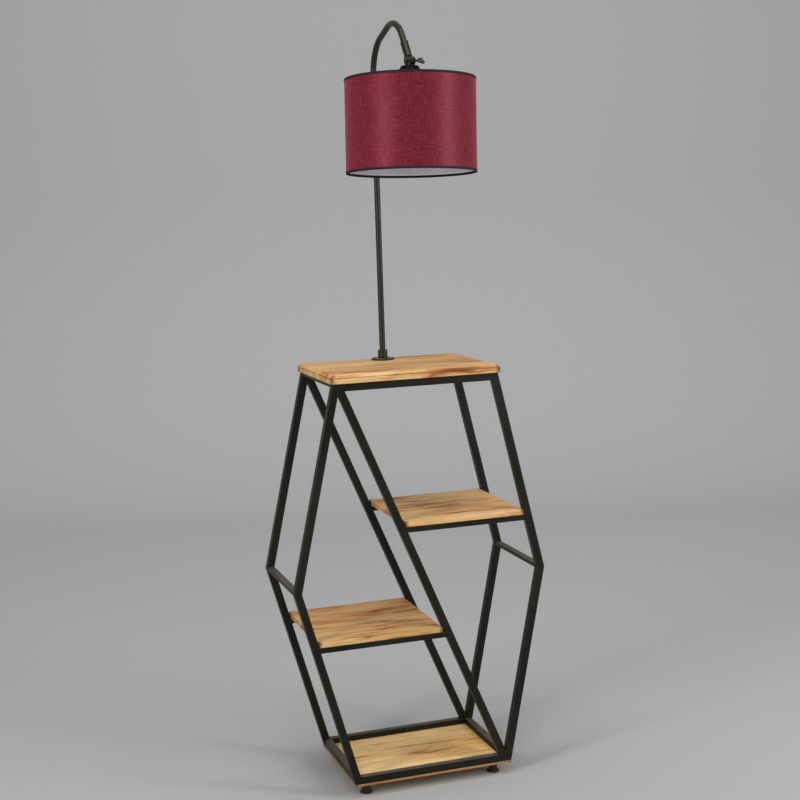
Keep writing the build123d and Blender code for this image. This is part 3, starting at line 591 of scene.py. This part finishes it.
def tape_profile(edge, inward):
    """Section of the tape folded over a rim, soft at the fold.

    inward is the sign of z from the rim to the middle of the shade.
    """
    gap = 0.0001
    liner_r = outer - FABRIC - LINER
    out_r = outer + TRIM_THICKNESS
    in_r = liner_r - TRIM_THICKNESS
    rim = edge - inward * TRIM_THICKNESS
    foot = edge + inward * TRIM_HEIGHT
    soft = TRIM_THICKNESS * 0.9
    shoulder = rim + inward * soft
    crown = rim + inward * soft * 0.3
    return [(outer + gap, foot), (outer + 0.0006, foot - inward * 0.0002),
            (out_r, foot - inward * 0.0008), (out_r, shoulder), (out_r - soft * 0.3, crown),
            (out_r - soft, rim), (in_r + soft, rim), (in_r + soft * 0.3, crown), (in_r, shoulder),
            (in_r, foot), (liner_r - gap, foot), (liner_r - gap, edge + inward * gap),
            (outer + gap, edge + inward * gap)]


def puckered(angle, r):
    """Small tucks in the tape's outside."""
    return TUCK_DEPTH * math.sin(angle * TUCKS) if r > outer + 0.0005 else 0.0


for name, edge, inward in (("shade_top_tape", SHADE_TOP, -1), ("shade_bottom_tape", SHADE_BOTTOM, 1)):
    band = turned_shape(tape_profile(edge, inward), 720, True, head_place, puckered)
    made = piece(name, band, tape, "head", ("shade_trims",))

# ---------------------------------------------------------------- bulb
GLOBE_STEPS = 24
GLOBE_SWEEP = 125               # degrees from the bottom up to where the neck begins
NECK_STEPS = 12
NECK_RADIUS = 0.0136
THREAD_STEPS = 28
BULB_END_RADIUS = 0.0001        # not 0, so that no face at the end is without area
bulb_top = HUB_TOP - HUB_THICKNESS - HOLDER_SKIRT + HOLDER_BORE_DEPTH
globe_z = bulb_top - BULB_LENGTH + BULB_RADIUS
neck_top = bulb_top - BULB_CAP_LENGTH
profile = [(BULB_END_RADIUS, bulb_top - BULB_LENGTH)]
for step in range(1, GLOBE_STEPS + 1):
    angle = math.radians(-90 + GLOBE_SWEEP * step / GLOBE_STEPS)
    profile.append((BULB_RADIUS * math.cos(angle), globe_z + BULB_RADIUS * math.sin(angle)))
neck_r, neck_z = profile[-1]
for step in range(1, NECK_STEPS + 1):
    share = step / NECK_STEPS
    ease = share * share * (3 - 2 * share)
    profile.append((neck_r + (NECK_RADIUS - neck_r) * ease, neck_z + (neck_top - neck_z) * share))
glass = piece("bulb_glass", turned_shape(profile, 72, False, head_place), opal, "head", ("bulb",))
cap_profile = [(0.0134, bulb_top - 0.026)]
for step in range(THREAD_STEPS + 1):
    z = bulb_top - 0.0235 + 0.0195 * step / THREAD_STEPS
    cap_profile.append((0.0124 + 0.0006 * math.sin(step * math.pi / 2.8), z))
cap_profile += [(0.0100, bulb_top - 0.0025), (0.0050, bulb_top - 0.0012),
                (0.0045, bulb_top - 0.0002), (BULB_END_RADIUS, bulb_top - 0.0002)]
cap = piece("bulb_cap", turned_shape(cap_profile, 48, False, head_place), brass, "head", ("bulb",))

# ---------------------------------------------------------------- wing screw
WING_HALF_THICKNESS = 0.0020
WING_THINNING = 0.0003          # off the half thickness, at WING_REACH from the root
WING_REACH = 0.02
WING_EDGE_ROUNDING = 0.0012
HUB_RADIUS = 0.0045
SHANK_RADIUS = 0.0025
THREAD_DEPTH = 0.0002
THREAD_STEP = 0.0004
THREAD_POINTS = 44
SCREW_END_RADIUS = 0.00005      # not 0, so that no face at the end is without area
wing_root = EAR_GAP / 2 + EAR_THICKNESS + EAR_GAP + WING_HUB_LENGTH
outline = [(-0.0005, 0.0026), (0.0030, 0.0034), (0.0060, 0.0066), (0.0092, 0.0108), (0.0128, 0.0133),
           (0.0163, 0.0136), (0.0190, 0.0122), (0.0206, 0.0094), (0.0208, 0.0058), (0.0198, 0.0018)]
outline += [(x, -z) for x, z in reversed(outline)]
shape = bmesh.new()
for side in (-1, 1):
    for x, z in outline:
        half = WING_HALF_THICKNESS - WING_THINNING * max(0.0, x) / WING_REACH
        shape.verts.new((wing_root + x, side * half, z))
shape.verts.ensure_lookup_table()
count = len(outline)
shape.faces.new([shape.verts[i] for i in range(count)])
shape.faces.new([shape.verts[count + i] for i in reversed(range(count))])
for i in range(count):
    j = (i + 1) % count
    shape.faces.new([shape.verts[k] for k in (j, i, count + i, count + j)])
bmesh.ops.recalc_face_normals(shape, faces=shape.faces)
# the rim's edges, which are those that don't cross from one side to the other
rim = [edge for edge in shape.edges if abs(edge.verts[0].co.y - edge.verts[1].co.y) < 0.001]
bmesh.ops.bevel(shape, geom=rim, offset=WING_EDGE_ROUNDING, segments=4, profile=0.5, affect="EDGES")
shape.transform(wing_place)
wing = piece("wing_screw_wing", shape, pole_paint, "wing", ("wing_screw",))

along_screw = wing_place @ Matrix.Rotation(math.radians(90), 4, "Y")
boss_start = wing_root - WING_HUB_LENGTH
boss_profile = [(SCREW_END_RADIUS, boss_start), (HUB_RADIUS, boss_start),
                (HUB_RADIUS, wing_root - 0.0012), (0.0039, wing_root + 0.0003),
                (0.0024, wing_root + 0.0014), (SCREW_END_RADIUS, wing_root + 0.0016)]
boss = turned_shape(boss_profile, 40, False, along_screw)
boss_piece = piece("wing_screw_boss", boss, pole_paint, "wing", ("wing_screw",))
shank_profile = [(SCREW_END_RADIUS, -0.00715), (0.0024, -0.00715), (SHANK_RADIUS, -0.0065)]
for i in range(THREAD_POINTS):
    shank_profile.append((SHANK_RADIUS - THREAD_DEPTH * (i % 2), -0.0062 + THREAD_STEP * i))
shank_profile.append((SHANK_RADIUS, wing_root - 0.0039))
shank = piece("wing_screw_shank", turned_shape(shank_profile, 32, False, along_screw), zinc, "wing",
              ("wing_screw",))

# ---------------------------------------------------------------- stage, light and camera
# fitted to the straight edges of the frame: azimuth to the right of +Y, elevation, roll, focal
# length in pixels of an 800 pixel picture, and the camera's place
VIEW_AZIMUTH = math.radians(18.414)
VIEW_ELEVATION = math.radians(-7.963)
VIEW_ROLL = math.radians(-1.861)
FOCAL_PIXELS = 1458.81
PICTURE_PIXELS = 800
SENSOR_WIDTH = 36
CAMERA_PLACE = (-1.21611, -3.57268, 1.56647)
LIGHT_AIM = Vector((0, 0, 1.1))

SWEEP_HALF_WIDTH = 9
SWEEP_FRONT = -9
BEND_START = 3.2
BEND_RADIUS = 1.6
WALL_TOP = 8.0


def floor_finish():
    """Matt grey paper, a little paler away from the camera."""
    f = Finish("floor_grey")
    speck = f.noise(f.place, 60, 4)
    away = f.between(f.add("SeparateXYZ", {0: f.place}).outputs[1], -1.5, 4.6)
    tint = f.mix(away, colour(161, 161, 161), colour(195, 195, 195))
    tint = f.mix(f.between(speck, 0.3, 0.7, 0, 0.04), tint, colour(120, 120, 120))
    return f.done(Base_Color=tint, Roughness=f.between(speck, 0.3, 0.7, 0.8, 0.9),
                  Normal=f.bump(speck, 0.0003, 0.2))


# the floor bends up into a wall behind the lamp
sweep = bmesh.new()
section = [(SWEEP_FRONT, 0.0), (BEND_START, 0.0)]
for degrees in range(6, 91, 6):
    angle = math.radians(degrees)
    section.append((BEND_START + BEND_RADIUS * math.sin(angle),
                    BEND_RADIUS - BEND_RADIUS * math.cos(angle)))
section.append((BEND_START + BEND_RADIUS, WALL_TOP))
for x in (-SWEEP_HALF_WIDTH, SWEEP_HALF_WIDTH):
    for y, z in section:
        sweep.verts.new((x, y, z))
sweep.verts.ensure_lookup_table()
count = len(section)
for i in range(count - 1):
    sweep.faces.new([sweep.verts[k] for k in (i, i + 1, count + i + 1, count + i)])
bmesh.ops.recalc_face_normals(sweep, faces=sweep.faces)
floor = placed("studio_floor", sweep, floor_finish())
floor.rotation_euler = (0, 0, math.radians(-18.4))

world = bpy.data.worlds.new("studio")
bpy.context.scene.world = world
world.use_nodes = True
world.node_tree.nodes["Background"].inputs["Color"].default_value = colour(236, 238, 240)
world.node_tree.nodes["Background"].inputs["Strength"].default_value = 0.40

forward = Vector((math.sin(VIEW_AZIMUTH) * math.cos(VIEW_ELEVATION),
                  math.cos(VIEW_AZIMUTH) * math.cos(VIEW_ELEVATION), math.sin(VIEW_ELEVATION)))
level = Vector((math.cos(VIEW_AZIMUTH), -math.sin(VIEW_AZIMUTH), 0))
upright = level.cross(forward)
right = level * math.cos(VIEW_ROLL) + upright * math.sin(VIEW_ROLL)
up = upright * math.cos(VIEW_ROLL) - level * math.sin(VIEW_ROLL)
camera_data = bpy.data.cameras.new("camera")
camera_data.sensor_width = SENSOR_WIDTH
camera_data.lens = SENSOR_WIDTH * FOCAL_PIXELS / PICTURE_PIXELS
camera = bpy.data.objects.new("camera", camera_data)
rows = [(right[i], up[i], -forward[i], CAMERA_PLACE[i]) for i in range(3)]
camera.matrix_world = Matrix((*rows, (0, 0, 0, 1)))
bpy.context.scene.collection.objects.link(camera)
bpy.context.scene.camera = camera


def soft_light(name, degrees_right, distance, height, width, tall, power):
    """Area lamp at an angle to the right of the camera's side of the object."""
    angle = math.radians(degrees_right)
    to_camera = Vector((-math.sin(VIEW_AZIMUTH), -math.cos(VIEW_AZIMUTH), 0))
    place = (to_camera * math.cos(angle) + level * math.sin(angle)) * distance
    place += Vector((0, 0, height))
    data = bpy.data.lights.new(name, "AREA")
    data.shape = "RECTANGLE"
    data.size = width
    data.size_y = tall
    data.energy = power
    lamp = bpy.data.objects.new(name, data)
    lamp.location = place
    lamp.rotation_euler = (LIGHT_AIM - place).to_track_quat("-Z", "Y").to_euler()
    bpy.context.scene.collection.objects.link(lamp)


side_box = dict(distance=3.2, height=1.9, width=0.6, tall=2.2, power=64)
soft_light("left_softbox", -45, **side_box)
soft_light("right_softbox", 65, **side_box)
soft_light("top_softbox", 0, distance=1.2, height=6.4, width=3.8, tall=3.8, power=166)

bpy.context.scene.view_settings.view_transform = "Standard"
